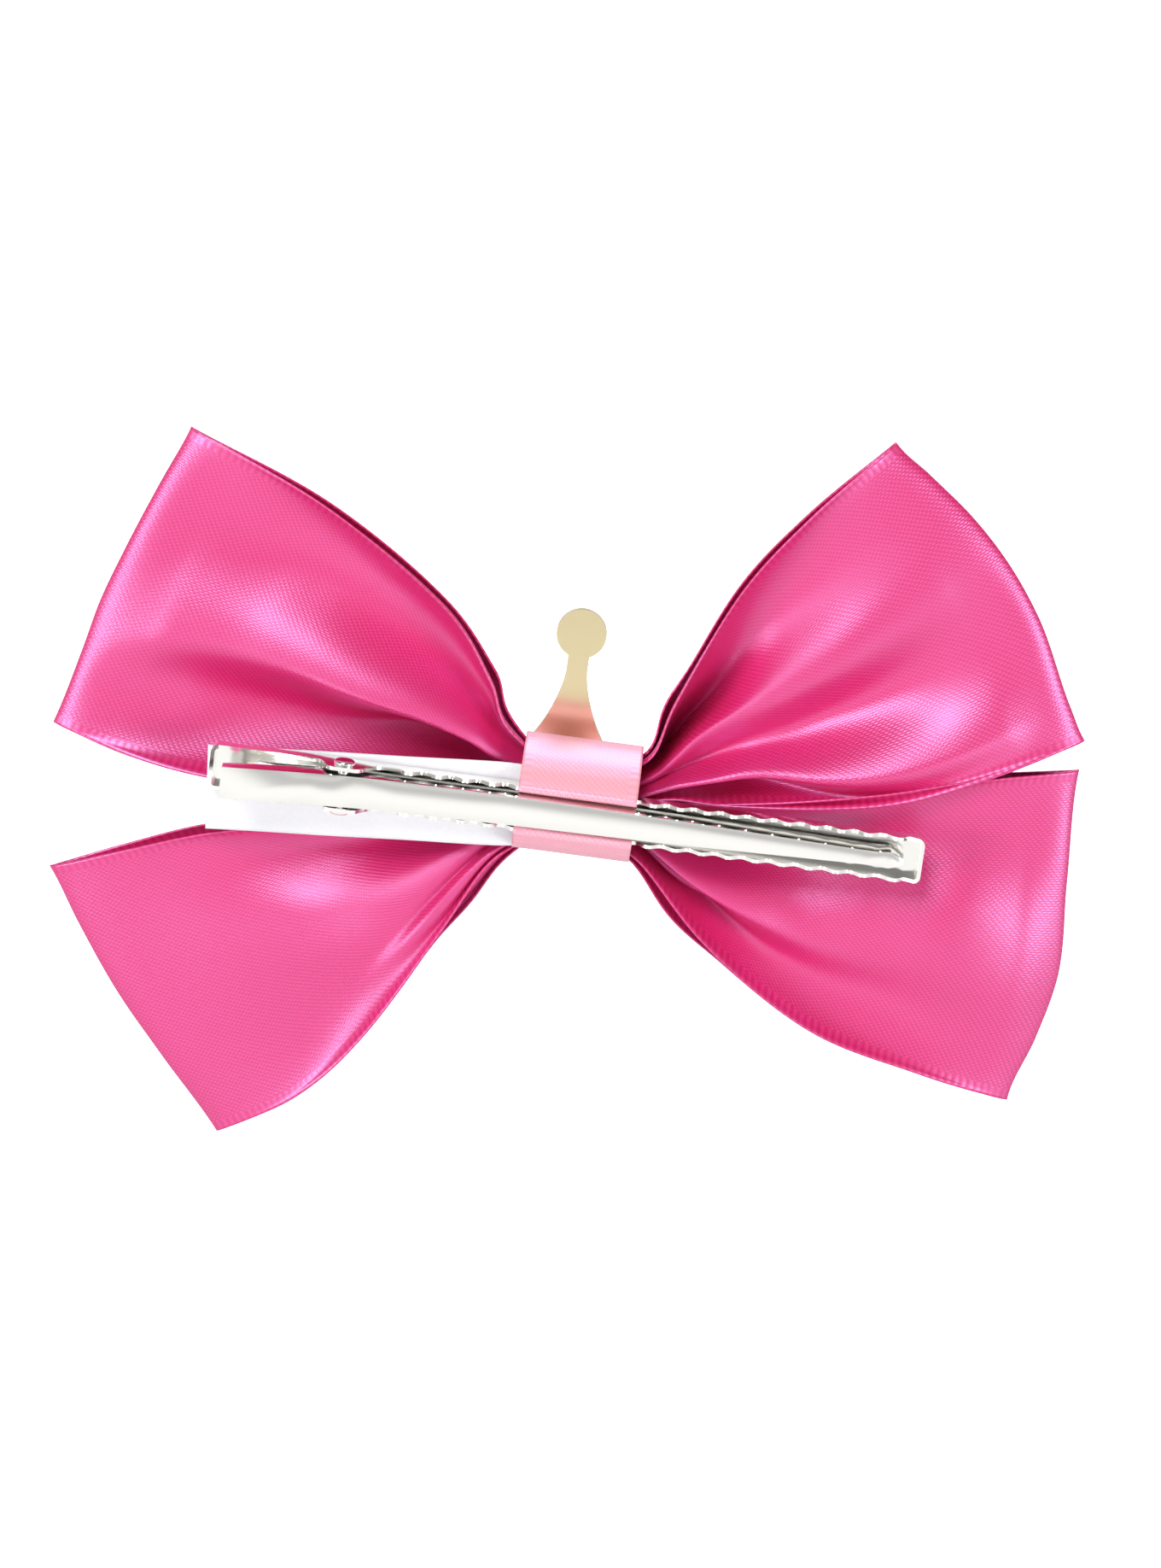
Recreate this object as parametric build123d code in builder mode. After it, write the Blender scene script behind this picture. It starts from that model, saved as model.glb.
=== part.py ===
"""Alligator hair clip with a four-loop satin bow, a centre wrap and a small crown.

Millimetres.  +X runs along the clip towards the jaw tip, +Z is up along the crown,
and -Y is the clip side.  The origin is on the inner floor of the clip's base tray,
under the middle of the centre wrap.
"""
import os
from math import pi, sin

from build123d import *

os.makedirs("parts", exist_ok=True)

# --- clip: stamped sheet ---------------------------------------------------------
SHEET = 0.4                    # sheet thickness of base and lever
BASE_X_MIN = -39.0             # handle end of the base
BASE_X_MAX = 37.0              # jaw tip of the base
BASE_WIDTH = 4.9               # outside width of the tray
BASE_CORNER = 0.75             # plan radius of the tray's corners
BASE_BEND = 0.35               # outside bend radius along the floor
RIM_Y = -1.7                   # mean height of the toothed rims
TOOTH_PITCH = 2.86
TOOTH_RISE = 0.45              # half of the wave's height
TEETH_X_MIN = -20.0
TEETH_X_MAX = 35.2
HANDLE_RIM_Y = -1.5            # plain rim behind the pivot
LIP_Y = -1.9                   # height of the upturned end lips
EAR_Y = -4.05                  # top of the pivot ears
EAR_HALF = 1.5                 # half length of the ear's round top
EAR_FOOT = 3.4                 # half length of the ear where it leaves the rim

# --- pivot pin and spring --------------------------------------------------------
PIVOT_X = -24.8
PIVOT_Y = -2.45
PIN_RADIUS = 0.6
PIN_CLEARANCE = 0.05           # running fit in the lever
PIN_HEAD_RADIUS = 1.15
PIN_HEAD_HEIGHT = 0.5
PIN_HEAD_ROUND = 0.35
SPRING_THICKNESS = 0.28
SPRING_WIDTH = 1.7
SPRING_EYE_RADIUS = 0.75       # centre line of the eye around the pin
SPRING_FLOOR_END = (-34.0, -0.22)
SPRING_LEVER_END = (-33.2, -5.65)

# --- lever: stations along X of the bent channel -----------------------------------
# (x, outer face y, half width of the face, half width at the rims, depth)
LEVER_STATIONS = [
    (-37.3, -7.30, 1.68, 1.80, 1.30),
    (-36.0, -7.00, 1.70, 1.82, 1.60),
    (-28.0, -5.20, 1.72, 1.82, 2.30),
    (-25.6, -4.70, 1.72, 1.82, 3.20),
    (-23.4, -4.30, 1.70, 1.82, 2.90),
    (-19.0, -3.80, 1.68, 1.80, 2.50),
    (-11.0, -3.40, 1.62, 1.74, 2.30),
    (-7.0, -3.25, 1.57, 1.70, 2.20),
    (0.0, -3.20, 1.48, 1.62, 2.20),
    (11.0, -3.15, 1.32, 1.47, 2.15),
    (20.0, -3.05, 1.10, 1.26, 2.05),
    (30.0, -2.90, 0.80, 0.96, 1.95),
    (32.2, -2.87, 0.80, 0.96, 1.92),
    (33.4, -2.84, 0.90, 1.06, 1.90),
    (34.3, -2.76, 0.66, 0.84, 1.78),
    (34.9, -2.60, 0.24, 0.44, 1.50),
]
LEVER_RIM_PASS = 1.0           # how far the hollow's cutter passes the rims

# --- bow -----------------------------------------------------------------------------
# The two corners (x, z) of each loop's outer fold, upper first.
LOOP_UPPER_LEFT = ((-45.3, 34.0), (-55.6, 0.6))
LOOP_LOWER_RIGHT = ((52.6, 10.4), (50.4, -26.4))
LOOP_LOWER_LEFT = ((-54.0, -15.0), (-32.8, -41.4))
LOOP_UPPER_RIGHT = ((28.6, 42.4), (52.2, 13.6))
FOLD_THICKNESS = 4.0           # front to back at the outer fold
BELLY_THICKNESS = 7.5          # front to back half way out
BELLY_PLACE = 0.55             # where the belly is, from core to fold
BELLY_WIDTH = 0.72             # its width against the fold's
CORE_HALF_LENGTH = 7.0         # the pinched core along X
CORE_HEIGHT = 7.8              # along Z
CORE_THICKNESS = 3.8           # each strip, along Y
CORE_ROUND = 1.8
FOLD_ROUND = 1.6
STRIP_A_Y = 8.3                # middle of the front strip at the core
STRIP_B_Y = 4.3                # middle of the rear strip at the core
STRIP_A_FOLD_Y = 7.4
STRIP_B_FOLD_Y = 6.0

# --- centre wrap, thread and glue ----------------------------------------------------
WRAP_HALF = 6.3                # half of the 12.6 mm ribbon
WRAP_CENTRE_Y = 6.3
WRAP_CENTRE_Z = 0.2
WRAP_RADIUS = 6.0
WRAP_THICKNESS = 0.7
WRAP_RIM_Y = -2.4              # outside of the wrap over the rims
WRAP_RIM_HALF = 2.85
WRAP_CLEARANCE = 0.03          # between wrap and tray
LINING = 0.22                  # the single layer inside the jaw
THREAD_THICKNESS = 0.35
THREAD_WIDTH = 0.7
THREAD_PITCH = 1.0
THREAD_TURNS = 3
GLUE_LENGTH = 9.0
GLUE_HEIGHT = 4.4

# --- label ---------------------------------------------------------------------------
LABEL_Y = 0.45
LABEL_THICKNESS = 0.3
LABEL_WIDTH = 9.2
LABEL_X_MIN = -39.3
LABEL_X_MAX = -6.7
LABEL_TILT = 4.4               # degrees, rising towards the wrap
LABEL_CROSS_Z = 0.2            # its middle line at X = 0
TONGUE_X_MAX = 4.0             # the narrow end held under the wrap
TONGUE_WIDTH = 4.4

# --- crown ---------------------------------------------------------------------------
CROWN_X = -1.9
CROWN_Y = 13.4                 # rear face of the plate
CROWN_THICKNESS = 0.9
CROWN_DISC_Z = 16.0
CROWN_DISC_RADIUS = 2.7
CROWN_NECK = (1.14, 12.5)      # half width and height where the prong is narrowest
CROWN_FLARE = (3.0, 5.7)
CROWN_VALLEY = (7.0, 1.2)
CROWN_SIDE_NECK = (12.7, 6.2)
CROWN_SIDE_DISC = (13.7, 7.7)
CROWN_SIDE_RADIUS = 2.0
CROWN_SHOULDER = (14.6, 6.4)
CROWN_FOOT = (11.2, -6.4)
CROWN_SAG = 0.9                # how far the foot bows down in the middle
BOSS_RADIUS = 0.95
BOSS_COUNT = 5
BOSS_PITCH = 3.9
BOSS_Z = -4.9
CROWN_GLUE_LENGTH = 8.6
CROWN_GLUE_HEIGHT = 7.0


def rim_points():
    """The wavy rim from the jaw tip back to the teeth's start, crests and troughs."""
    halves = int((TEETH_X_MAX - TEETH_X_MIN) / (TOOTH_PITCH / 2))
    xs = [TEETH_X_MAX - i * TOOTH_PITCH / 2 for i in range(halves + 1)]
    return [(x, RIM_Y + TOOTH_RISE * sin(pi / 2 + pi * i)) for i, x in enumerate(xs)]


# --- clip_base -------------------------------------------------------------------------
base_length = BASE_X_MAX - BASE_X_MIN
base_middle = (BASE_X_MAX + BASE_X_MIN) / 2
teeth = rim_points()
with BuildPart() as clip_base:
    with BuildSketch(Plane.XZ.offset(-SHEET)):
        with Locations((base_middle, 0)):
            RectangleRounded(base_length, BASE_WIDTH, BASE_CORNER)
    extrude(amount=SHEET - EAR_Y)
    fillet(clip_base.faces().sort_by(Axis.Y)[-1].edges(), BASE_BEND)
    with BuildSketch(Plane.XZ):
        with Locations((base_middle, 0)):
            RectangleRounded(base_length - 2 * SHEET, BASE_WIDTH - 2 * SHEET, BASE_CORNER - SHEET)
    extrude(amount=-EAR_Y, mode=Mode.SUBTRACT)
    with BuildSketch(Plane.XY):
        with BuildLine():
            Polyline(
                (PIVOT_X + EAR_HALF, EAR_Y),
                (PIVOT_X + EAR_HALF, EAR_Y - SHEET),
                (BASE_X_MAX + SHEET, EAR_Y - SHEET),
                (BASE_X_MAX + SHEET, LIP_Y),
                (TEETH_X_MAX + TOOTH_PITCH / 2, LIP_Y),
                teeth[0],
            )
            Spline(*teeth)
            Spline(
                teeth[-1],
                (PIVOT_X + EAR_FOOT, RIM_Y),
                (PIVOT_X + EAR_HALF, EAR_Y),
                tangents=[(-1, 0), (-1, -1)],
            )
        make_face()
        with BuildLine():
            Polyline(
                (PIVOT_X - EAR_FOOT, HANDLE_RIM_Y),
                (BASE_X_MIN + BASE_CORNER, HANDLE_RIM_Y),
                (BASE_X_MIN, LIP_Y),
                (BASE_X_MIN - SHEET, LIP_Y),
                (BASE_X_MIN - SHEET, EAR_Y - SHEET),
                (PIVOT_X - EAR_HALF, EAR_Y - SHEET),
                (PIVOT_X - EAR_HALF, EAR_Y),
            )
            Spline(
                (PIVOT_X - EAR_HALF, EAR_Y),
                (PIVOT_X - EAR_FOOT, HANDLE_RIM_Y),
                tangents=[(-1, 1), (-1, 0)],
            )
        make_face()
    extrude(amount=BASE_WIDTH, both=True, mode=Mode.SUBTRACT)
    fillet(
        clip_base.edges().filter_by(Axis.Z).filter_by_position(Axis.Y, EAR_Y - 0.1, EAR_Y + 0.1),
        EAR_HALF * 0.6,
    )
    with Locations((PIVOT_X, PIVOT_Y, 0)):
        Cylinder(PIN_RADIUS, BASE_WIDTH, mode=Mode.SUBTRACT)
clip_base.part.label = "clip_base"
export_step(clip_base.part, "parts/clip_base.step")

# --- pivot_pin -------------------------------------------------------------------------
with BuildPart() as pivot_pin:
    with Locations((PIVOT_X, PIVOT_Y, 0)):
        Cylinder(PIN_RADIUS, BASE_WIDTH)
    head_z = (BASE_WIDTH + PIN_HEAD_HEIGHT) / 2
    with Locations((PIVOT_X, PIVOT_Y, head_z), (PIVOT_X, PIVOT_Y, -head_z)):
        Cylinder(PIN_HEAD_RADIUS, PIN_HEAD_HEIGHT)
    head_rims = pivot_pin.edges().filter_by(GeomType.CIRCLE).group_by(Axis.Z)
    fillet([*head_rims[0], *head_rims[-1]], PIN_HEAD_ROUND)
pivot_pin.part.label = "pivot_pin"
export_step(pivot_pin.part, "parts/pivot_pin.step")

# --- leaf_spring -----------------------------------------------------------------------
with BuildPart() as leaf_spring:
    with BuildSketch(Plane.XY):
        with BuildLine():
            Line(SPRING_FLOOR_END, (PIVOT_X, PIVOT_Y + SPRING_EYE_RADIUS))
            ThreePointArc(
                (PIVOT_X, PIVOT_Y + SPRING_EYE_RADIUS),
                (PIVOT_X + SPRING_EYE_RADIUS, PIVOT_Y),
                (PIVOT_X, PIVOT_Y - SPRING_EYE_RADIUS),
            )
            Line((PIVOT_X, PIVOT_Y - SPRING_EYE_RADIUS), SPRING_LEVER_END)
        trace(line_width=SPRING_THICKNESS)
    extrude(amount=SPRING_WIDTH / 2, both=True)
leaf_spring.part.label = "leaf_spring"
export_step(leaf_spring.part, "parts/leaf_spring.step")

# --- clip_lever ------------------------------------------------------------------------
with BuildPart() as clip_lever:
    for x, face_y, half_face, half_rim, depth in LEVER_STATIONS:
        with BuildSketch(Plane.YZ.offset(x)):
            Polygon(
                (face_y, -half_face),
                (face_y + depth, -half_rim),
                (face_y + depth, half_rim),
                (face_y, half_face),
                align=None,
            )
    loft(ruled=True)
    for x, face_y, half_face, half_rim, depth in LEVER_STATIONS[1:-2]:
        slope = (half_rim - half_face) / depth
        reach = depth + LEVER_RIM_PASS
        foot = half_face + slope * reach - SHEET
        with BuildSketch(Plane.YZ.offset(x)):
            Polygon(
                (face_y + SHEET, -half_face + SHEET * (1 - slope)),
                (face_y + reach, -foot),
                (face_y + reach, foot),
                (face_y + SHEET, half_face - SHEET * (1 - slope)),
                align=None,
            )
    loft(ruled=True, mode=Mode.SUBTRACT)
    with Locations((PIVOT_X, PIVOT_Y, 0)):
        Cylinder(PIN_RADIUS + PIN_CLEARANCE, BASE_WIDTH, mode=Mode.SUBTRACT)
clip_lever.part.label = "clip_lever"
export_step(clip_lever.part, "parts/clip_lever.step")


# --- ribbon strips ---------------------------------------------------------------------
def section_plane(upper, lower, y):
    """The plane of a section whose width runs from one (x, z) corner to the other."""
    top = Vector(upper[0], y, upper[1])
    foot = Vector(lower[0], y, lower[1])
    across = (top - foot).normalized()
    return Plane(origin=(top + foot) / 2, x_dir=across, z_dir=across.cross(Vector(0, -1, 0)))


def belly_corners(fold):
    """A loop's two corners half way out, between the core's edge and the outer fold."""
    side = CORE_HALF_LENGTH if fold[0][0] > 0 else -CORE_HALF_LENGTH
    middle_x = side + ((fold[0][0] + fold[1][0]) / 2 - side) * BELLY_PLACE
    middle_z = (fold[0][1] + fold[1][1]) / 2 * BELLY_PLACE
    half_x = (fold[0][0] - fold[1][0]) / 2 * BELLY_WIDTH
    half_z = (fold[0][1] - fold[1][1]) / 2 * BELLY_WIDTH
    return (middle_x + half_x, middle_z + half_z), (middle_x - half_x, middle_z - half_z)


def strip_sections(left, right, core_y, fold_y):
    """(plane, width, thickness, rounding) of one strip's sections, from left to right."""
    rows = []
    core_half = CORE_HEIGHT / 2
    belly_y = (core_y + fold_y) / 2
    for fold in (left, right):
        belly = belly_corners(fold)
        edge_x = CORE_HALF_LENGTH if fold is right else -CORE_HALF_LENGTH
        core = ((edge_x, core_half), (edge_x, -core_half))
        loop_rows = [
            (fold, fold_y, FOLD_THICKNESS, FOLD_ROUND),
            (belly, belly_y, BELLY_THICKNESS, CORE_ROUND),
            (core, core_y, CORE_THICKNESS, CORE_ROUND),
        ]
        rows += loop_rows if fold is left else reversed(loop_rows)
    sections = []
    for (upper, lower), y, thickness, rounding in rows:
        width = (Vector(*upper) - Vector(*lower)).length
        sections.append((section_plane(upper, lower, y), width, thickness, rounding))
    return sections


with BuildPart() as ribbon_strip_a:
    for plane, width, thickness, rounding in strip_sections(
        LOOP_UPPER_LEFT, LOOP_LOWER_RIGHT, STRIP_A_Y, STRIP_A_FOLD_Y
    ):
        with BuildSketch(plane):
            RectangleRounded(width, thickness, rounding)
    loft(ruled=True)
ribbon_strip_a.part.label = "ribbon_strip_a"
export_step(ribbon_strip_a.part, "parts/ribbon_strip_a.step")

with BuildPart() as ribbon_strip_b:
    for plane, width, thickness, rounding in strip_sections(
        LOOP_LOWER_LEFT, LOOP_UPPER_RIGHT, STRIP_B_Y, STRIP_B_FOLD_Y
    ):
        with BuildSketch(plane):
            RectangleRounded(width, thickness, rounding)
    loft(ruled=True)
    add(ribbon_strip_a.part, mode=Mode.SUBTRACT)
ribbon_strip_b.part.label = "ribbon_strip_b"
export_step(ribbon_strip_b.part, "parts/ribbon_strip_b.step")

# --- gather_thread ---------------------------------------------------------------------
core_y_min = STRIP_B_Y - CORE_THICKNESS / 2
core_y_max = STRIP_A_Y + CORE_THICKNESS / 2
core_span = core_y_max - core_y_min
with BuildPart() as gather_thread:
    for turn in range(THREAD_TURNS):
        turn_x = (turn - (THREAD_TURNS - 1) / 2) * THREAD_PITCH
        with BuildSketch(Plane.YZ.offset(turn_x)):
            with Locations(((core_y_min + core_y_max) / 2, 0)):
                RectangleRounded(
                    core_span + 2 * THREAD_THICKNESS,
                    CORE_HEIGHT + 2 * THREAD_THICKNESS,
                    CORE_ROUND + THREAD_THICKNESS,
                )
                RectangleRounded(core_span, CORE_HEIGHT, CORE_ROUND, mode=Mode.SUBTRACT)
        extrude(amount=THREAD_WIDTH / 2, both=True)
gather_thread.part.label = "gather_thread"
export_step(gather_thread.part, "parts/gather_thread.step")

# --- centre_wrap -----------------------------------------------------------------------
tray_half = BASE_WIDTH / 2
lining_half = tray_half - SHEET - WRAP_CLEARANCE
rim_inside = RIM_Y - TOOTH_RISE - WRAP_CLEARANCE


def wrap_hull(radius, rim_half, rim_y):
    """Closed outline round the bow's core and over the tray's two rims."""
    with BuildSketch(mode=Mode.PRIVATE) as hull:
        with Locations((WRAP_CENTRE_Y, WRAP_CENTRE_Z)):
            Circle(radius)
        with Locations((rim_y / 2, 0)):
            Rectangle(-rim_y, 2 * rim_half)
        make_hull()
    return hull.sketch


with BuildPart() as centre_wrap:
    with BuildSketch(Plane.YZ):
        add(wrap_hull(WRAP_RADIUS, WRAP_RIM_HALF, WRAP_RIM_Y))
        add(
            wrap_hull(WRAP_RADIUS - WRAP_THICKNESS, tray_half + WRAP_CLEARANCE, rim_inside),
            mode=Mode.SUBTRACT,
        )
        with Locations((WRAP_RIM_Y / 2 - WRAP_CLEARANCE, 0)):
            Rectangle(-WRAP_RIM_Y, 2 * lining_half)
            Rectangle(-WRAP_RIM_Y, 2 * (lining_half - LINING), mode=Mode.SUBTRACT)
        with Locations((-WRAP_CLEARANCE - LINING / 2, 0)):
            Rectangle(LINING, 2 * lining_half)
    extrude(amount=WRAP_HALF, both=True)
centre_wrap.part.label = "centre_wrap"
export_step(centre_wrap.part, "parts/centre_wrap.step")

# --- blank_label -----------------------------------------------------------------------
label_plane = Plane(
    origin=(0, LABEL_Y, LABEL_CROSS_Z), x_dir=(1, 0, 0), z_dir=(0, 1, 0)
).rotated((0, -LABEL_TILT, 0))
with BuildPart() as blank_label:
    with BuildSketch(label_plane):
        with Locations(((LABEL_X_MIN + LABEL_X_MAX) / 2, 0)):
            Rectangle(LABEL_X_MAX - LABEL_X_MIN, LABEL_WIDTH)
        with Locations(((LABEL_X_MAX + TONGUE_X_MAX) / 2, 0)):
            Rectangle(TONGUE_X_MAX - LABEL_X_MAX, TONGUE_WIDTH)
    extrude(amount=LABEL_THICKNESS)
blank_label.part.label = "blank_label"
export_step(blank_label.part, "parts/blank_label.step")

# --- clip_glue -------------------------------------------------------------------------
glue_y_min = LABEL_Y + LABEL_THICKNESS
glue_y_max = core_y_min - THREAD_THICKNESS
with BuildPart() as clip_glue:
    with BuildSketch(Plane.XZ.offset(-glue_y_max)):
        RectangleRounded(GLUE_LENGTH, GLUE_HEIGHT, GLUE_HEIGHT / 3)
    extrude(amount=glue_y_max - glue_y_min)
clip_glue.part.label = "clip_glue"
export_step(clip_glue.part, "parts/clip_glue.step")


# --- crown_plate -----------------------------------------------------------------------
def flipped(point):
    return (-point[0], point[1])


crown_face = Plane(origin=(CROWN_X, CROWN_Y, 0), x_dir=(1, 0, 0), z_dir=(0, -1, 0))
with BuildPart() as crown_plate:
    with BuildSketch(crown_face):
        with BuildLine():
            ThreePointArc(flipped(CROWN_FOOT), (0, CROWN_FOOT[1] - CROWN_SAG), CROWN_FOOT)
            Line(CROWN_FOOT, CROWN_SHOULDER)
            Line(CROWN_SHOULDER, CROWN_SIDE_NECK)
            Spline(CROWN_SIDE_NECK, CROWN_VALLEY, CROWN_FLARE, CROWN_NECK)
            Line(CROWN_NECK, flipped(CROWN_NECK))
            Spline(*[flipped(p) for p in (CROWN_NECK, CROWN_FLARE, CROWN_VALLEY, CROWN_SIDE_NECK)])
            Line(flipped(CROWN_SIDE_NECK), flipped(CROWN_SHOULDER))
            Line(flipped(CROWN_SHOULDER), flipped(CROWN_FOOT))
        make_face()
        with Locations((0, (CROWN_NECK[1] + CROWN_DISC_Z) / 2)):
            Rectangle(2 * CROWN_NECK[0], CROWN_DISC_Z - CROWN_NECK[1])
        with Locations((0, CROWN_DISC_Z)):
            Circle(CROWN_DISC_RADIUS)
        with Locations(CROWN_SIDE_DISC, flipped(CROWN_SIDE_DISC)):
            Circle(CROWN_SIDE_RADIUS)
    extrude(amount=-CROWN_THICKNESS)
    boss_start = CROWN_X - (BOSS_COUNT - 1) / 2 * BOSS_PITCH
    boss_y = CROWN_Y + CROWN_THICKNESS
    with Locations(*[(boss_start + i * BOSS_PITCH, boss_y, BOSS_Z) for i in range(BOSS_COUNT)]):
        Sphere(BOSS_RADIUS)
    split(bisect_by=Plane.XZ.offset(-CROWN_Y), keep=Keep.BOTTOM)
crown_plate.part.label = "crown_plate"
export_step(crown_plate.part, "parts/crown_plate.step")

# --- crown_glue ------------------------------------------------------------------------
with BuildPart() as crown_glue:
    with BuildSketch(Plane.XZ.offset(-CROWN_Y)):
        with Locations((0, WRAP_CENTRE_Z)):
            RectangleRounded(CROWN_GLUE_LENGTH, CROWN_GLUE_HEIGHT, CROWN_GLUE_HEIGHT / 4)
    extrude(amount=CROWN_Y - WRAP_CENTRE_Y - WRAP_RADIUS / 2)
    with Locations((0, WRAP_CENTRE_Y, WRAP_CENTRE_Z)):
        Cylinder(WRAP_RADIUS, 4 * WRAP_HALF, rotation=(0, 90, 0), mode=Mode.SUBTRACT)
crown_glue.part.label = "crown_glue"
export_step(crown_glue.part, "parts/crown_glue.step")
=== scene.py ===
from math import cos, pi, radians, sin

import bmesh
import bpy
import numpy as np
from mathutils import Matrix, Vector


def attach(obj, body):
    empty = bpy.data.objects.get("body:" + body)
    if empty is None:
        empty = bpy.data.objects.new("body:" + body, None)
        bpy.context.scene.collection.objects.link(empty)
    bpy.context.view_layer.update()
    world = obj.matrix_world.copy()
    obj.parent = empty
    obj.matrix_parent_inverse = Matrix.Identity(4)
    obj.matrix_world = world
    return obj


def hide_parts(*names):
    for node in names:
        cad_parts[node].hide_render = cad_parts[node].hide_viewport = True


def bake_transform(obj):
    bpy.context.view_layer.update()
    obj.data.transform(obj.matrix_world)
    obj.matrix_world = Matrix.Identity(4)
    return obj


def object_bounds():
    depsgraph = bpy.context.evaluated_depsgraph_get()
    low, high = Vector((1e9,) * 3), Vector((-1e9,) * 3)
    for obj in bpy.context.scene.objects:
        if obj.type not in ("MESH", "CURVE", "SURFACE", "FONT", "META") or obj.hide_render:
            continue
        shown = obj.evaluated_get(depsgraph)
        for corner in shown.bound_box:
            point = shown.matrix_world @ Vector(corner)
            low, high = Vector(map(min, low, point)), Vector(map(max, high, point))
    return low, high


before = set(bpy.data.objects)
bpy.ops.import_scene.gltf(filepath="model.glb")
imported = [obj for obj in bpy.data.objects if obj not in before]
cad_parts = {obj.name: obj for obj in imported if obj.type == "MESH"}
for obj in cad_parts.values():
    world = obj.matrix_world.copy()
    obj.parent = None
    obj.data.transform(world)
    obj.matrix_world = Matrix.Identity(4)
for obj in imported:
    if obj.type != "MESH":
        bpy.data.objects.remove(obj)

# An alligator hair clip with a four-loop satin bow.  The frame is the CAD's: +X along the
# clip towards the jaw tip, +Z up, -Y out of the clip's back.  The outlines and sizes of the
# ribbons, the wrap and the label, and the radii of rounded edges, are in millimetres and
# become metres as the meshes are made.  Every other length is in metres, apart from the
# camera's lens and sensor.
MM = 0.001
CAD_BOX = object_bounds()
ROOT_BODY = "clip_body"
LEVER_BODY = "lever"


# --- camera --------------------------------------------------------------------------
ELEVATION = radians(15)
ROLL = radians(7.6)
LENS = 120.0                   # millimetres, and so is the sensor
SENSOR = 36.0
FRAME_HEIGHT = 0.166           # what the frame takes in at the clip
AIM_RIGHT = 0.0005             # from the origin to the middle of the frame
AIM_UP = 0.0029


def add_camera():
    """A long lens, a little above the clip, rolled so that the clip runs slightly downhill."""
    level_up = Vector((0, sin(ELEVATION), cos(ELEVATION)))
    level_right = Vector((1, 0, 0))
    right = level_right * cos(ROLL) + level_up * sin(ROLL)
    up = level_up * cos(ROLL) - level_right * sin(ROLL)
    back = right.cross(up)
    distance = FRAME_HEIGHT * LENS / SENSOR
    middle = right * AIM_RIGHT + up * AIM_UP
    data = bpy.data.cameras.new("camera")
    data.lens = LENS
    data.sensor_width = SENSOR
    data.clip_start = 0.01
    data.clip_end = 20
    camera = bpy.data.objects.new("camera", data)
    camera.matrix_world = Matrix.Translation(middle + back * distance) @ Matrix(
        (right, up, back)
    ).transposed().to_4x4()
    bpy.context.scene.collection.objects.link(camera)
    bpy.context.scene.camera = camera


# --- node helpers ----------------------------------------------------------------------
class Nodes:
    """A short way to write a material's node tree."""

    def __init__(self, name):
        self.material = bpy.data.materials.new(name)
        self.material.use_nodes = True
        self.tree = self.material.node_tree
        self.shader = self.tree.nodes["Principled BSDF"]

    def add(self, kind, **values):
        node = self.tree.nodes.new(kind)
        for key, value in values.items():
            setattr(node, key, value)
        return node

    def link(self, source, target):
        self.tree.links.new(source, target)

    def put(self, socket, value):
        if isinstance(value, bpy.types.NodeSocket):
            self.link(value, socket)
        else:
            socket.default_value = value

    def math(self, operation, a, b=0.0):
        node = self.add("ShaderNodeMath", operation=operation)
        self.put(node.inputs[0], a)
        self.put(node.inputs[1], b)
        return node.outputs[0]

    def scaled(self, value, factor, plus):
        """value * factor + plus."""
        return self.math("ADD", self.math("MULTIPLY", value, factor), plus)

    def mix(self, factor, a, b, blend="MIX"):
        node = self.add("ShaderNodeMix", data_type="RGBA", blend_type=blend)
        self.put(node.inputs["Factor"], factor)
        self.put(node.inputs["A"], a)
        self.put(node.inputs["B"], b)
        return node.outputs["Result"]

    def noise(self, scale, detail=2.0, vector=None):
        node = self.add("ShaderNodeTexNoise")
        node.inputs["Scale"].default_value = scale
        node.inputs["Detail"].default_value = detail
        if vector is None:
            vector = self.add("ShaderNodeTexCoord").outputs["Object"]
        self.link(vector, node.inputs["Vector"])
        return node.outputs["Fac"]

    def ramp(self, factor, low, high):
        node = self.add("ShaderNodeMapRange", interpolation_type="SMOOTHSTEP")
        self.put(node.inputs["Value"], factor)
        node.inputs["From Min"].default_value = low
        node.inputs["From Max"].default_value = high
        return node.outputs["Result"]

    def bump(self, height, distance, strength):
        node = self.add("ShaderNodeBump")
        node.inputs["Distance"].default_value = distance
        node.inputs["Strength"].default_value = strength
        self.link(height, node.inputs["Height"])
        self.link(node.outputs["Normal"], self.shader.inputs["Normal"])

    def set(self, **values):
        for key, value in values.items():
            self.put(self.shader.inputs[key.replace("_", " ")], value)


# --- materials -------------------------------------------------------------------------
RIBBON_UV = "ribbon"           # metres along and across the ribbon
DASH = 0.00066                 # length of one dash, where the warp floats; the dashes are painted lighter, a painted sheen
ROW = DASH * 0.42              # width of a row of dashes
STAGGER = 0.4                  # share of a dash by which each row is shifted from the last
SELVAGE = 0.0012               # width of the corded edge
GROOVE = SELVAGE * 0.18        # half the width of the groove beside it
RIB = DASH * 1.3               # pitch of the cords on it
ROLLING = (60, 2200, 2200)     # grain of the plate's rolling marks, per metre: long along X


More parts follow.
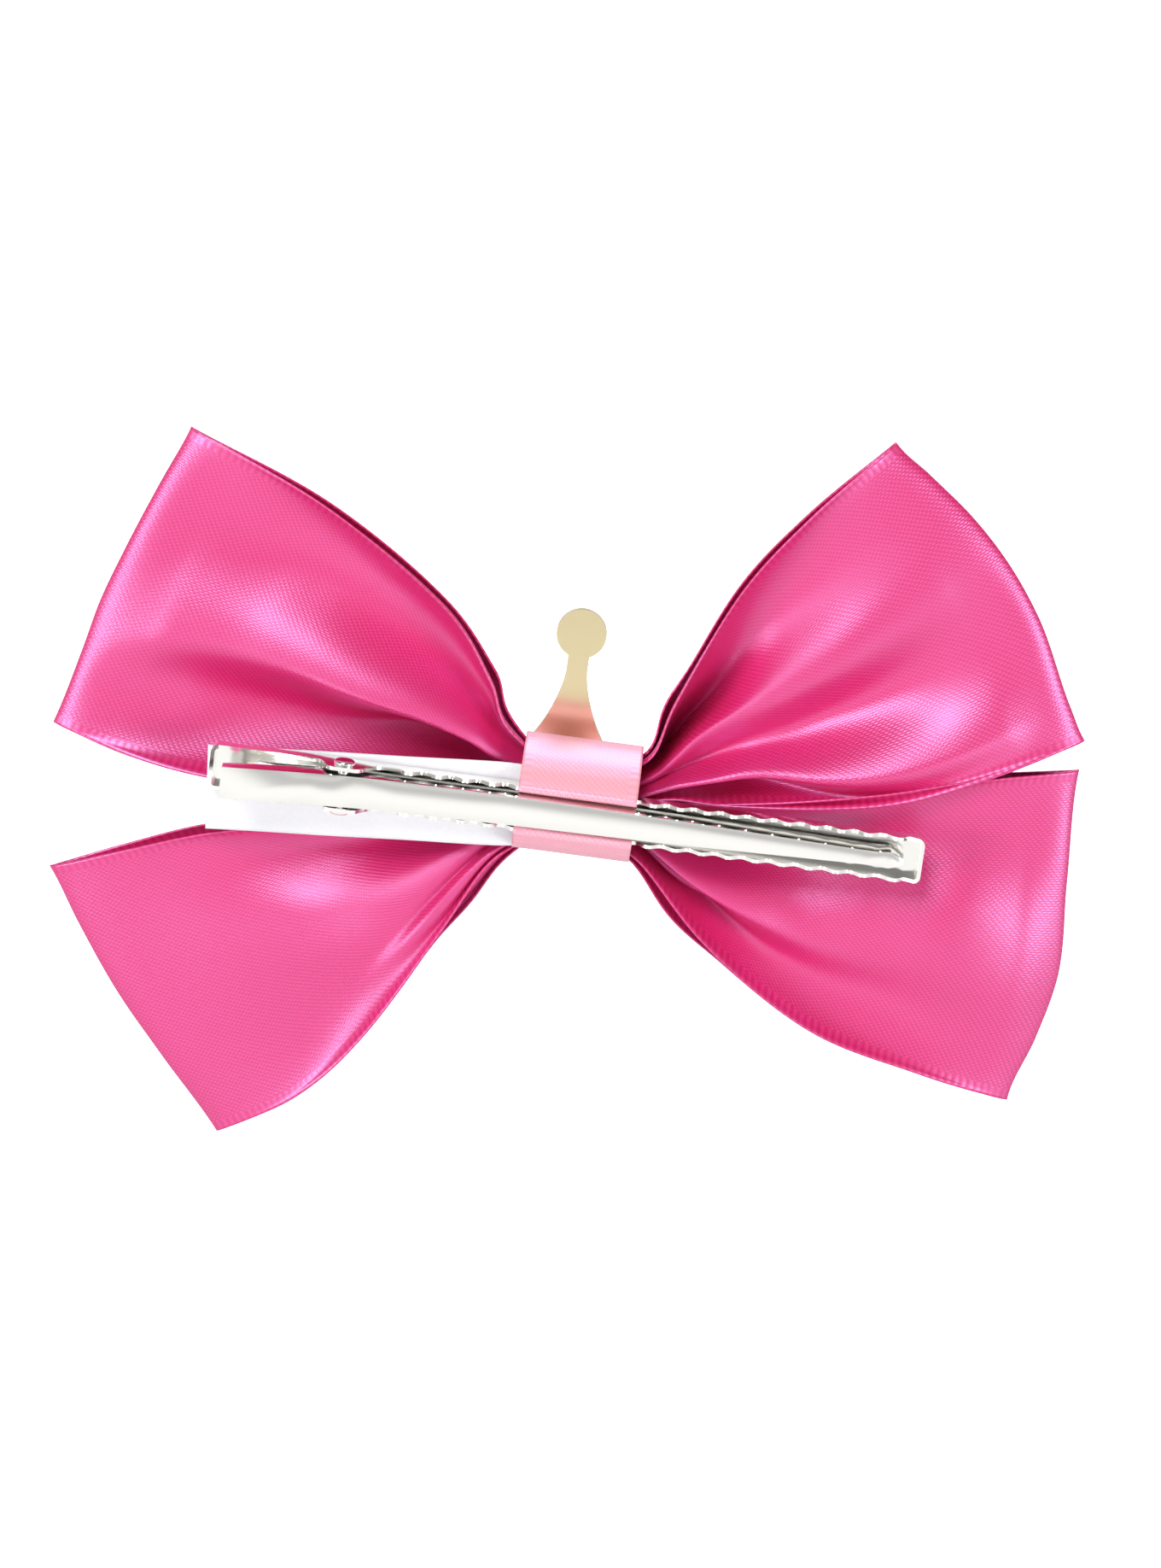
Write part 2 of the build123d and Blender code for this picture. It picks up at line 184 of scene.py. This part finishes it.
def satin_material(name, body, sheen_colour, width):
    """Satin ribbon: warp floats as short dashes, and a corded selvage on both edges; the floats
    and the cords' rib crests are painted lighter, a painted sheen.
    """
    n = Nodes(name)
    uv = n.add("ShaderNodeUVMap", uv_map=RIBBON_UV).outputs["UV"]
    axes = n.add("ShaderNodeSeparateXYZ")
    n.link(uv, axes.inputs[0])
    along, across = axes.outputs[0], axes.outputs[1]
    rows = n.math("DIVIDE", across, ROW)
    stagger = n.math("MULTIPLY", n.math("FLOOR", rows), STAGGER)
    dashes = n.math("ADD", n.math("DIVIDE", along, DASH), stagger)
    along_wave = n.math("SINE", n.math("MULTIPLY", n.math("FRACT", dashes), pi))
    across_wave = n.math("SINE", n.math("MULTIPLY", n.math("FRACT", rows), pi))
    floats = n.math("MULTIPLY", along_wave, across_wave)
    from_edge = n.math("MINIMUM", across, n.math("SUBTRACT", width, across))
    cord = n.ramp(from_edge, SELVAGE * 1.05, SELVAGE * 0.95)
    ribs = n.math("SINE", n.math("MULTIPLY", along, 2 * pi / RIB))
    rib_height = n.math("MULTIPLY", n.math("ADD", ribs, 1.0), 0.5)
    groove = n.math("ABSOLUTE", n.math("SUBTRACT", from_edge, SELVAGE))
    groove_height = n.ramp(groove, 0.0, GROOVE)
    weave = n.mix(cord, floats, rib_height)
    height = n.math("MULTIPLY", weave, groove_height)
    # painted sheen: the floats are painted towards a lighter copy of the ribbon's colour
    painted_float_sheen = n.math("MULTIPLY", n.ramp(floats, 0.2, 0.95), 0.8)
    colour = n.mix(painted_float_sheen, (*body, 1), (*sheen_colour, 1))
    # painted highlight: the cords' rib crests are painted lighter, the grooves darker
    cord_colour_with_highlight = n.mix(n.math("MULTIPLY", rib_height, 0.5), (*body, 1), (*sheen_colour, 1))
    colour = n.mix(cord, colour, cord_colour_with_highlight)
    shade = n.scaled(n.noise(90.0), 0.06, 0.97)
    colour = n.mix(1.0, colour, shade, blend="MULTIPLY")
    n.set(Base_Color=colour, Roughness=0.36, IOR=1.9)
    n.set(Sheen_Weight=0.04, Sheen_Roughness=0.4, Sheen_Tint=(1.0, 0.75, 1.0, 1))
    n.set(Specular_IOR_Level=1.0, Specular_Tint=(0.80, 0.52, 1.0, 1))
    n.bump(height, 0.00004, 0.4)
    return n.material


def chrome_material(name, tint, roughness):
    """Bright plate with fine rolling marks along the clip and a faint unevenness."""
    n = Nodes(name)
    place = n.add("ShaderNodeTexCoord").outputs["Object"]
    stretch = n.add("ShaderNodeMapping")
    stretch.inputs["Scale"].default_value = ROLLING
    n.link(place, stretch.inputs["Vector"])
    marks = n.noise(1.0, 3.0, stretch.outputs["Vector"])
    dents = n.noise(200.0, 1.0)
    lighter = [min(1, c * 1.05) for c in tint]
    n.set(Base_Color=n.mix(marks, (*tint, 1), (*lighter, 1)), Metallic=1.0)
    n.set(Roughness=n.scaled(marks, 0.08, roughness))
    n.bump(n.math("ADD", dents, n.math("MULTIPLY", marks, 0.04)), 0.00003, 0.25)
    return n.material


def plain_material(name, colour, roughness, grain, **more):
    """A matt material with a fine grain in its height and a little in its colour."""
    n = Nodes(name)
    fine = n.noise(grain, 4.0)
    shade = n.scaled(fine, 0.08, 0.96)
    colour = n.mix(1.0, (*colour, 1), shade, blend="MULTIPLY")
    n.set(Base_Color=colour, Roughness=roughness, **more)
    n.bump(fine, 0.00005, 0.4)
    return n.material


# --- mesh helpers -----------------------------------------------------------------------
def grid_object(name, points, uv, material, thickness):
    """A sheet of that thickness through a (rows, columns, 3) grid of points."""
    rows, columns, _ = points.shape
    vertices = (points.reshape(-1, 3) * MM).tolist()
    faces = [
        (r * columns + c, r * columns + c + 1, (r + 1) * columns + c + 1, (r + 1) * columns + c)
        for r in range(rows - 1)
        for c in range(columns - 1)
    ]
    mesh = bpy.data.meshes.new(name)
    mesh.from_pydata(vertices, [], faces)
    layer = mesh.uv_layers.new(name=RIBBON_UV)
    corners = np.empty(len(mesh.loops), dtype=np.int32)
    mesh.loops.foreach_get("vertex_index", corners)
    layer.data.foreach_set("uv", (uv.reshape(-1, 2) * MM)[corners].astype(np.float32).ravel())
    for polygon in mesh.polygons:
        polygon.use_smooth = True
    mesh.materials.append(material)
    obj = bpy.data.objects.new(name, mesh)
    bpy.context.scene.collection.objects.link(obj)
    solid = obj.modifiers.new("thickness", "SOLIDIFY")
    solid.thickness = thickness * MM
    solid.offset = 0
    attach(obj, ROOT_BODY)
    return obj


CURVE_STEPS = 24               # between two control points


def curve_points(control, places):
    """Points of a smooth curve through the control points, at shares of its length."""
    control = np.asarray(control, dtype=float)
    padded = np.vstack([2 * control[0] - control[1], control, 2 * control[-1] - control[-2]])
    t = np.linspace(0, 1, CURVE_STEPS, endpoint=False)[:, None]
    fine = []
    for i in range(len(control) - 1):
        p0, p1, p2, p3 = padded[i:i + 4]
        fine.append(
            0.5 * (2 * p1 + (p2 - p0) * t + (2 * p0 - 5 * p1 + 4 * p2 - p3) * t**2
                   + (3 * p1 - p0 - 3 * p2 + p3) * t**3)
        )
    fine = np.vstack([*fine, control[-1:]])
    steps = np.linalg.norm(np.diff(fine, axis=0), axis=1)
    length = np.concatenate([[0], np.cumsum(steps)])
    wanted = np.asarray(places) * length[-1]
    columns = [np.interp(wanted, length, fine[:, k]) for k in range(fine.shape[1])]
    return np.stack(columns, axis=1)


def smoothstep(x):
    x = np.clip(x, 0, 1)
    return x * x * (3 - 2 * x)


# --- the bow's ribbons -------------------------------------------------------------------
RIBBON_WIDTH = 38.0
RIBBON_THICKNESS = 0.22
LAYER_ROWS = 110               # along one layer of a loop
ACROSS = 85                    # columns across the ribbon
CORE_Y = 4.6                   # middle of the loops where they enter the wrap
CORE_GAP = 1.4                 # half the space between a loop's two layers there
LOOP_GAP = 3.8                 # and at the loop's fullest
NOSE_POWER = 0.6               # how blunt the outer fold is: 0.5 is an ellipse
NOSE_START = 0.42              # where the loop begins to close towards its outer fold
FRONT_DROP = 0.42              # how far a loop's front layer hangs lower, per unit of half space
CREST_LIMIT = 1.2              # how far a ridge may pass the edges towards the clip
FRONT_SHARE = 0.66             # share of the rear layer's folds in the front layer's inner half
FLARE_AT = 0.14                # where the front layer's edges stand out most near the core
FLARE_WIDTH = 0.12
BULGE_POWER = 2.4              # how late along the loop its outer bulge begins


def smooth_value(knots, places):
    """A smooth curve through (place, value) knots, level before the first and after the last."""
    knots = np.asarray(knots, dtype=float)
    x, y = knots[:, 0], knots[:, 1]
    slopes = np.gradient(y, x)
    slopes[0] = slopes[-1] = 0
    places = np.clip(places, x[0], x[-1])
    i = np.clip(np.searchsorted(x, places, side="right") - 1, 0, len(x) - 2)
    span = x[i + 1] - x[i]
    t = (places - x[i]) / span
    ends = (2 * t**3 - 3 * t**2 + 1) * y[i] + (3 * t**2 - 2 * t**3) * y[i + 1]
    return ends + ((t**3 - 2 * t**2 + t) * slopes[i] + (t**3 - t**2) * slopes[i + 1]) * span


class Ridge:
    """A fold that stands out of a loop's hollow towards the clip.

    path is where its crest runs, (along, across) from the core outwards, height how far it
    stands, and above and below are its widths on its upper and lower side, near the core and
    further out, as shares of the ribbon's width.
    """

    def __init__(self, path, height, above, below):
        self.path = path
        self.height = height
        self.above = above
        self.below = below

    def relief(self, u, v):
        crest = smooth_value(self.path, u)[:, None]
        height = smooth_value(self.height, u)[:, None]
        offset = v[None, :] - crest
        outer = smoothstep((u - 0.2) / 0.35)[:, None]
        above, below = (near + (far - near) * outer for near, far in (self.above, self.below))
        width = np.where(offset < 0, above, below)
        return height * np.exp(-np.abs(offset / width) ** 2.2)


def row_places():
    """Places along a layer from 0 to 1, closer together at the outer fold."""
    return 1 - (1 - np.linspace(0, 1, LAYER_ROWS)) ** 1.7


def column_places():
    """Places across the ribbon from 0 to 1, a little closer together at its edges."""
    even = np.linspace(0, 1, ACROSS)
    return even - np.sin(2 * pi * even) * 0.05


class Loop:
    """One loop of the bow.

    upper and lower are the rear layer's edges (x, z) from the core to the outer fold, hollow
    is how deep the ribbon dips between its edges along the loop, and ridges stand in that
    hollow.  bulge is how far the outer fold stands out, in the direction outward, across the
    ribbon, and fold_y is where that fold lies front to back.  spread is how far the front
    layer's upper and lower edges stand out past the rear layer's, near the core and further
    out.
    """

    def __init__(self, upper, lower, hollow, ridges, outward, bulge, fold_y, spread):
        self.upper = upper
        self.lower = lower
        self.hollow = hollow
        self.ridges = ridges
        self.outward = np.array(outward) / np.linalg.norm(outward)
        self.bulge = bulge
        self.fold_y = fold_y
        self.spread = spread

    def edges(self, u, front):
        upper = curve_points(self.upper, u)
        lower = curve_points(self.lower, u)
        if front:
            middle = (upper + lower) / 2
            for edge, (near, far) in ((upper, self.spread[0]), (lower, self.spread[1])):
                away = edge - middle
                away = away / np.maximum(np.linalg.norm(away, axis=1), 1e-6)[:, None]
                flare = near * np.exp(-(((u - FLARE_AT) / FLARE_WIDTH) ** 2))
                rise = flare + far * np.sin(pi * u) ** 0.7
                edge += away * rise[:, None]
        return upper, lower

    def relief(self, u, v):
        """How far the surface lies behind its edges, away from the clip."""
        depth = smooth_value(self.hollow, u)[:, None]
        shape = (4 * v * (1 - v))[None, :] ** 0.55
        total = depth * shape
        for ridge in self.ridges:
            total = total - ridge.relief(u, v)
        return np.where(total < 0, CREST_LIMIT * np.tanh(total / CREST_LIMIT), total)

    def layer(self, front):
        u, v = row_places(), column_places()
        upper, lower = self.edges(u, front)
        across = v[None, :]
        place = across[..., None]
        flat = upper[:, None, :] * (1 - place) + lower[:, None, :] * place
        stand_out = smooth_value(self.bulge, v)[None, :] * u[:, None] ** BULGE_POWER
        flat = flat + self.outward[None, None, :] * stand_out[..., None]
        middle = CORE_Y + (self.fold_y - CORE_Y) * smoothstep(u)
        half = CORE_GAP + (LOOP_GAP - CORE_GAP) * smoothstep(u / 0.45)
        nose = np.clip((u - NOSE_START) / (1 - NOSE_START), 0, 1)
        half = half * (1 - nose**2) ** NOSE_POWER
        side = 1 if front else -1
        relief = self.relief(u, v)
        if front:
            flat[..., 1] -= (FRONT_DROP * half)[:, None]
            share = FRONT_SHARE + (1 - FRONT_SHARE) * smoothstep((u - 0.5) / 0.5)
            relief *= share[:, None]
        y = (middle + side * half)[:, None] + relief
        return np.concatenate([flat[..., :1], y[..., None], flat[..., 1:]], axis=2)

    def grid(self):
        """The rear layer from the core to the outer fold, then the front layer back again."""
        return np.concatenate([self.layer(False), self.layer(True)[::-1][1:]], axis=0)


LOOPS = {
    "upper_left": Loop(
        upper=[(-4.5, 4.2), (-8.8, 7.9), (-10.9, 12.5), (-16.7, 19.9), (-30.0, 28.4),
               (-45.4, 34.4)],
        lower=[(-4.5, 0.4), (-14.0, -0.8), (-26.0, -2.0), (-39.0, -2.3), (-48.0, -1.4),
               (-56.6, 0.5)],
        hollow=[(0, 4.5), (0.12, 8.5), (0.3, 9.6), (0.48, 8.8), (0.7, 6.2), (0.88, 2.0),
                (1, 0)],
        ridges=[
            Ridge(
                path=[(0, 0.45), (0.12, 0.46), (0.25, 0.50), (0.4, 0.53), (0.6, 0.53),
                      (0.8, 0.56), (1, 0.66)],
                height=[(0, 4.0), (0.12, 9.0), (0.3, 10.0), (0.45, 9.2), (0.65, 6.8),
                        (0.85, 2.6), (1, 0)],
                above=(0.28, 0.27),
                below=(0.06, 0.12),
            ),
        ],
        outward=(-0.95, 0.29), fold_y=6.2, spread=((0.9, 0.45), (0.0, 0.3)),
        bulge=[(0, 0), (0.2, 0.5), (0.43, 0.9), (0.6, 0.95), (0.75, 0.5), (1, 0)],
    ),
    "lower_right": Loop(
        upper=[(4.5, -0.4), (9.0, 1.2), (15.9, 2.3), (31.7, 5.6), (41.2, 8.1), (52.5, 10.2)],
        lower=[(4.5, -4.2), (7.8, -5.8), (15.7, -13.4), (28.0, -21.3), (40.2, -24.9),
               (50.4, -27.4)],
        hollow=[(0, 4.5), (0.12, 7.5), (0.3, 7.4), (0.5, 5.8), (0.72, 4.2), (0.9, 1.4), (1, 0)],
        ridges=[
            Ridge(
                path=[(0, 0.6), (0.1, 0.66), (0.3, 0.68), (0.5, 0.66), (0.7, 0.64)],
                height=[(0, 4.0), (0.12, 7.4), (0.3, 6.2), (0.48, 3.4), (0.7, 1.0), (0.9, 0)],
                above=(0.26, 0.3),
                below=(0.06, 0.12),
            ),
            Ridge(
                path=[(0.4, 0.4), (0.7, 0.5), (1, 0.6)],
                height=[(0.4, 0), (0.6, 2.4), (0.8, 3.8), (0.92, 1.6), (1, 0)],
                above=(0.30, 0.30),
                below=(0.26, 0.26),
            ),
        ],
        outward=(1.0, -0.08), fold_y=6.4, spread=((0.6, 0.5), (1.3, 0.5)),
        bulge=[(0, 0), (0.33, 1.3), (0.62, 2.5), (0.8, 1.6), (1, 0)],
    ),
    "lower_left": Loop(
        upper=[(-4.5, -0.4), (-14.0, -2.2), (-26.0, -5.0), (-38.6, -8.4), (-47.6, -12.0),
               (-55.4, -15.4)],
        lower=[(-4.5, -4.2), (-8.6, -7.8), (-12.6, -15.4), (-19.8, -28.8), (-26.0, -36.8),
               (-34.2, -42.8)],
        hollow=[(0, 4.5), (0.12, 7.2), (0.3, 7.6), (0.46, 7.2), (0.6, 4.8), (0.76, 1.8),
                (0.92, 0.3), (1, 0)],
        ridges=[
            Ridge(
                path=[(0, 0.55), (0.2, 0.58), (0.38, 0.59), (0.5, 0.56), (0.62, 0.50),
                      (0.8, 0.46)],
                height=[(0, 4.0), (0.12, 7.0), (0.3, 7.3), (0.46, 6.8), (0.6, 4.3), (0.76, 1.4),
                        (0.92, 0)],
                above=(0.26, 0.32),
                below=(0.36, 0.38),
            ),
            Ridge(
                path=[(0, 0.86), (0.2, 0.84), (0.5, 0.86)],
                height=[(0, 1.5), (0.2, 3.4), (0.36, 1.2), (0.55, 0)],
                above=(0.05, 0.05),
                below=(0.09, 0.09),
            ),
        ],
        outward=(-0.78, -0.63), fold_y=6.2, spread=((0.0, 0.8), (1.4, 0.2)),
        bulge=[(0, 0), (0.2, 0.65), (0.45, 1.1), (0.7, 0.7), (1, 0)],
    ),
    "upper_right": Loop(
        upper=[(4.5, 4.2), (7.4, 6.4), (9.1, 12.8), (14.1, 25.1), (20.3, 34.0), (28.1, 42.7)],
        lower=[(4.5, 0.4), (10.0, 1.9), (16.4, 2.2), (31.6, 4.4), (42.0, 8.2), (52.6, 13.4)],
        hollow=[(0, 4.5), (0.12, 9.0), (0.28, 9.8), (0.45, 8.0), (0.7, 5.2), (0.88, 1.8),
                (1, 0)],
        ridges=[
            Ridge(
                path=[(0, 0.5), (0.1, 0.46), (0.2, 0.40), (0.35, 0.42), (0.5, 0.44),
                      (0.75, 0.42), (1, 0.36)],
                height=[(0, 4.0), (0.12, 8.2), (0.25, 8.0), (0.42, 6.4), (0.65, 4.8),
                        (0.85, 1.8), (1, 0)],
                above=(0.055, 0.20),
                below=(0.30, 0.15),
            ),
            Ridge(
                path=[(0, 0.8), (0.2, 0.76), (0.3, 0.77), (0.45, 0.84), (0.7, 0.88), (1, 0.86)],
                height=[(0, 3.0), (0.12, 6.2), (0.3, 6.8), (0.45, 5.6), (0.65, 4.2),
                        (0.85, 1.4), (0.96, 0)],
                above=(0.10, 0.18),
                below=(0.05, 0.08),
            ),
        ],
        outward=(0.78, 0.63), fold_y=6.2, spread=((1.0, 0.4), (0.3, 0.3)),
        bulge=[(0, 0), (0.13, 1.2), (0.29, 2.6), (0.45, 3.2), (0.62, 2.9), (0.9, 0.6), (1, 0)],
    ),
}


def strip_object(name, left, right, material):
    """One ribbon: out and back round the left loop, across the front, round the right loop."""
    points = np.concatenate([LOOPS[left].grid(), LOOPS[right].grid()[::-1]], axis=0)
    steps = np.linalg.norm(np.diff(points, axis=0), axis=2).mean(axis=1)
    along = np.concatenate([[0], np.cumsum(steps)])
    across = column_places() * RIBBON_WIDTH
    uv = np.stack(np.meshgrid(along, across, indexing="ij"), axis=2)
    obj = grid_object(name, points, uv, material, RIBBON_THICKNESS)
    return obj


def add_bow():
    """Two ribbons cross at the core, each with a loop at either end."""
    body = (0.58, 0.005, 0.085)
    # the second colour is a lighter copy of the pink, for the painted sheen on the floats and
    # cords
    sheen_colour = (0.84, 0.045, 0.26)
    satin = satin_material("bow_satin", body, sheen_colour, RIBBON_WIDTH * MM)
    for name, left, right in (
        ("ribbon_strip_a", "upper_left", "lower_right"),
        ("ribbon_strip_b", "lower_left", "upper_right"),
    ):
        obj = strip_object(name + "_satin", left, right, satin)
        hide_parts(name)


# --- centre wrap -------------------------------------------------------------------------
WRAP_WIDTH = 12.6
WRAP_THICKNESS = 0.2
WRAP_ROWS = 260                # round the wrap
WRAP_COLUMNS = 41              # and across it


def add_wrap():
    """The wrap's ribbon goes once round the bow and the tray, and dips into the jaw."""
    body = (0.90, 0.36, 0.40)
    # the second colour is a lighter copy of the pale pink, for the painted sheen on the floats
    # and cords
    sheen_colour = (0.95, 0.49, 0.53)
    satin = satin_material("wrap_satin", body, sheen_colour, WRAP_WIDTH * MM)
    section = [
        (-0.14, 0.0), (-0.16, 1.2), (-0.9, 1.72), (-2.2, 2.0), (-2.35, 2.5), (-1.7, 3.05),
        (-0.2, 4.35), (2.2, 5.6), (5.8, 6.1), (9.4, 5.4), (11.8, 3.0), (12.5, 0.2),
        (11.8, -2.8), (9.4, -4.9), (5.8, -5.8), (2.2, -5.3), (-0.2, -4.2), (-1.7, -3.05),
        (-2.35, -2.5), (-2.2, -2.0), (-0.9, -1.72), (-0.16, -1.2), (-0.14, 0.0),
    ]
    line = curve_points(section, np.linspace(0, 1, WRAP_ROWS))
    across = np.linspace(0, 1, WRAP_COLUMNS)
    points = np.zeros((WRAP_ROWS, WRAP_COLUMNS, 3))
    points[..., 0] = (across[None, :] - 0.5) * WRAP_WIDTH
    points[..., 1] = line[:, 0:1]
    points[..., 2] = line[:, 1:2]
    steps = np.linalg.norm(np.diff(line, axis=0), axis=1)
    along = np.concatenate([[0], np.cumsum(steps)])
    uv = np.stack(np.meshgrid(along, across * WRAP_WIDTH, indexing="ij"), axis=2)
    obj = grid_object("centre_wrap_ribbon", points, uv, satin, WRAP_THICKNESS)
    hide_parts("centre_wrap")


# --- metal ---------------------------------------------------------------------------------
WELD = MM / 1000               # CAD vertices closer than this are one vertex


def dress(node, material):
    """Give a CAD piece its material in place of the plain one."""
    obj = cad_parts[node]
    obj.data.materials.clear()
    obj.data.materials.append(material)


def rounded_copy(node, name, material, radius, body):
    """The CAD piece's own shape with its edges rounded, as bent and plated sheet has them.

    With no body given, the copy is left attached to no body.
    """
    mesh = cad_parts[node].data.copy()
    mesh.name = name
    shape = bmesh.new()
    shape.from_mesh(mesh)
    bmesh.ops.remove_doubles(shape, verts=shape.verts, dist=WELD)
    bmesh.ops.dissolve_limit(
        shape, angle_limit=radians(0.6), verts=shape.verts, edges=shape.edges
    )
    shape.to_mesh(mesh)
    shape.free()
    mesh.materials.clear()
    mesh.materials.append(material)
    for polygon in mesh.polygons:
        polygon.use_smooth = True
    obj = bpy.data.objects.new(name, mesh)
    bpy.context.scene.collection.objects.link(obj)
    bevel = obj.modifiers.new("edges", "BEVEL")
    bevel.width = radius * MM
    bevel.segments = 3
    bevel.limit_method = "ANGLE"
    bevel.angle_limit = radians(28)
    bevel.harden_normals = True
    if body:
        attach(obj, body)
    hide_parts(node)
    return obj


def add_metal():
    nickel = chrome_material("clip_metal", (0.94, 0.93, 0.89), 0.10)
    spring = chrome_material("spring_steel", (0.7, 0.7, 0.69), 0.2)
    gold = chrome_material("crown_gold", (0.86, 0.73, 0.45), 0.14)
    rounded_copy(
        "clip_lever", "clip_lever_plated", nickel, 0.16, LEVER_BODY
    )
    dress("clip_base", nickel)
    dress("pivot_pin", nickel)
    dress("crown_plate", gold)
    leaf = rounded_copy("leaf_spring", "leaf_spring_bent", spring, 0.05, None)
    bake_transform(leaf)


# --- label and glue ----------------------------------------------------------------------
LABEL_X = (-39.3, 0.5)         # its two ends, the second under the wrap
LABEL_WIDTH = 9.2
LABEL_THICKNESS = 0.16
LABEL_TUCK = -9.0              # where the wrap begins to draw it in
LABEL_NARROWING = 0.12         # share of its width that it loses there
LABEL_TILT = radians(4.4)
LABEL_Y = 0.6
LABEL_Z = 0.2
LABEL_ROWS = 90
LABEL_COLUMNS = 21


def add_label():
    """A strip of white tape, a little wavy, that runs in under the wrap."""
    material = plain_material("label_tape", (0.79, 0.785, 0.82), 0.5, 3000.0)
    along = np.linspace(LABEL_X[0], LABEL_X[1], LABEL_ROWS)[:, None]
    across = np.linspace(-0.5, 0.5, LABEL_COLUMNS)[None, :] * LABEL_WIDTH
    tuck = smoothstep((along - LABEL_TUCK) / (LABEL_X[1] - LABEL_TUCK))
    width = 1 - LABEL_NARROWING * tuck
    wave = 0.06 * np.sin(along * 0.42) * (across / 4)
    cupping = 0.02 * np.abs(across) * tuck
    points = np.zeros((LABEL_ROWS, LABEL_COLUMNS, 3))
    points[..., 0] = along * cos(LABEL_TILT) - across * sin(LABEL_TILT)
    points[..., 1] = LABEL_Y + wave + cupping
    points[..., 2] = along * sin(LABEL_TILT) + across * width * cos(LABEL_TILT) + LABEL_Z
    uv = np.stack(np.broadcast_arrays(along, across), axis=2)
    tape = grid_object("blank_label_tape", points, uv, material, LABEL_THICKNESS)
    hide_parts("blank_label")


def add_soft_trim():
    dress("gather_thread", plain_material("thread", (0.75, 0.1, 0.35), 0.7, 4000.0))
    glue = plain_material("glue", (0.95, 0.9, 0.85), 0.25, 300.0, Transmission_Weight=0.3)
    dress("clip_glue", glue)
    dress("crown_glue", glue)


# --- floor and light -------------------------------------------------------------------------
FLOOR_DROP = 0.10              # the clip is held up, as it is in hair, and clear of the floor
FLOOR_REACH = 6.0              # from the clip to the floor's edge
HORIZON_LIGHT = 0.72           # strength of the studio at the horizon and below
TOP_LIGHT = 0.20               # and overhead
HORIZON_BAND = (0.12, 0.45)    # Z of the directions where one begins and the other is reached
VIEWER_SHARE = 0.40            # share of that light left where the photographer stands
VIEWER_CONE = (-0.97, -0.78)   # Y of the directions where that part is full and where it ends
VIEWER_HEIGHT = (0.03, 0.12)   # and Z of those where it begins and where it is full
CEILING_STRENGTH = 2.2
CEILING_WIDTH = radians(50)
CEILING_PLACE = (0.0, 0.75, 1.0)


def add_floor():
    """A pale floor that the camera sees as white."""
    low = CAD_BOX[0][2] - FLOOR_DROP
    mesh = bpy.data.meshes.new("floor")
    size = FLOOR_REACH
    corners = [(-size, -size, low), (size, -size, low), (size, size, low), (-size, size, low)]
    mesh.from_pydata(corners, [], [(0, 1, 2, 3)])
    n = Nodes("floor")
    seen = n.add("ShaderNodeLightPath").outputs["Is Camera Ray"]
    n.set(Base_Color=(0.68, 0.68, 0.68, 1), Roughness=1.0, Specular_IOR_Level=0.0)
    n.set(Emission_Color=(1, 1, 1, 1), Emission_Strength=seen)
    mesh.materials.append(n.material)
    floor = bpy.data.objects.new("floor", mesh)
    bpy.context.scene.collection.objects.link(floor)


def add_area(name, place, size, watts):
    """A soft round lamp that points at the origin and is hidden from the camera."""
    data = bpy.data.lights.new(name, "AREA")
    data.shape = "DISK"
    data.size = size
    data.energy = watts
    lamp = bpy.data.objects.new(name, data)
    lamp.location = place
    lamp.visible_camera = False
    lamp.rotation_euler = (-Vector(place)).to_track_quat("-Z", "Y").to_euler()
    bpy.context.scene.collection.objects.link(lamp)


def studio_world():
    """A pale studio: brightest at the horizon and below, dimmer overhead and along -Y."""
    world = bpy.data.worlds.new("studio")
    world.use_nodes = True
    tree = world.node_tree
    background = tree.nodes["Background"]
    background.inputs["Color"].default_value = (1, 1, 1, 1)
    place = tree.nodes.new("ShaderNodeTexCoord")
    axes = tree.nodes.new("ShaderNodeSeparateXYZ")
    tree.links.new(place.outputs["Generated"], axes.inputs[0])

    def step(value, low, high, bottom, top):
        node = tree.nodes.new("ShaderNodeMapRange")
        node.interpolation_type = "SMOOTHSTEP"
        node.inputs["From Min"].default_value = low
        node.inputs["From Max"].default_value = high
        node.inputs["To Min"].default_value = bottom
        node.inputs["To Max"].default_value = top
        tree.links.new(value, node.inputs["Value"])
        return node.outputs["Result"]

    def combine(operation, first, second):
        node = tree.nodes.new("ShaderNodeMath")
        node.operation = operation
        tree.links.new(first, node.inputs[0])
        tree.links.new(second, node.inputs[1])
        return node.outputs[0]

    height = step(axes.outputs["Z"], *HORIZON_BAND, HORIZON_LIGHT, TOP_LIGHT)
    towards_viewer = step(axes.outputs["Y"], *VIEWER_CONE, 1.0, 0.0)
    above_floor = step(axes.outputs["Z"], *VIEWER_HEIGHT, 0.0, 1.0)
    dark = combine("MULTIPLY", towards_viewer, above_floor)
    light = step(dark, 0.0, 1.0, 1.0, VIEWER_SHARE)
    tree.links.new(combine("MULTIPLY", height, light), background.inputs["Strength"])
    bpy.context.scene.world = world


def add_light():
    """Round lamps above and to both sides on the -Y side, and a broad one behind, above."""
    studio_world()
    sun = bpy.data.lights.new("ceiling", "SUN")
    sun.energy = CEILING_STRENGTH
    sun.angle = CEILING_WIDTH
    lamp = bpy.data.objects.new("ceiling", sun)
    lamp.rotation_euler = (-Vector(CEILING_PLACE)).to_track_quat("-Z", "Y").to_euler()
    bpy.context.scene.collection.objects.link(lamp)
    add_area("above", (-0.20, -0.54, 0.46), 0.34, 3.2)
    add_area("left", (-0.56, -0.50, -0.06), 0.28, 2.1)
    add_area("right", (0.58, -0.48, 0.05), 0.28, 2.1)


bpy.context.scene.view_settings.view_transform = "Standard"
add_camera()
add_bow()
add_wrap()
add_metal()
add_label()
add_soft_trim()
add_floor()
add_light()

bpy.context.view_layer.update()
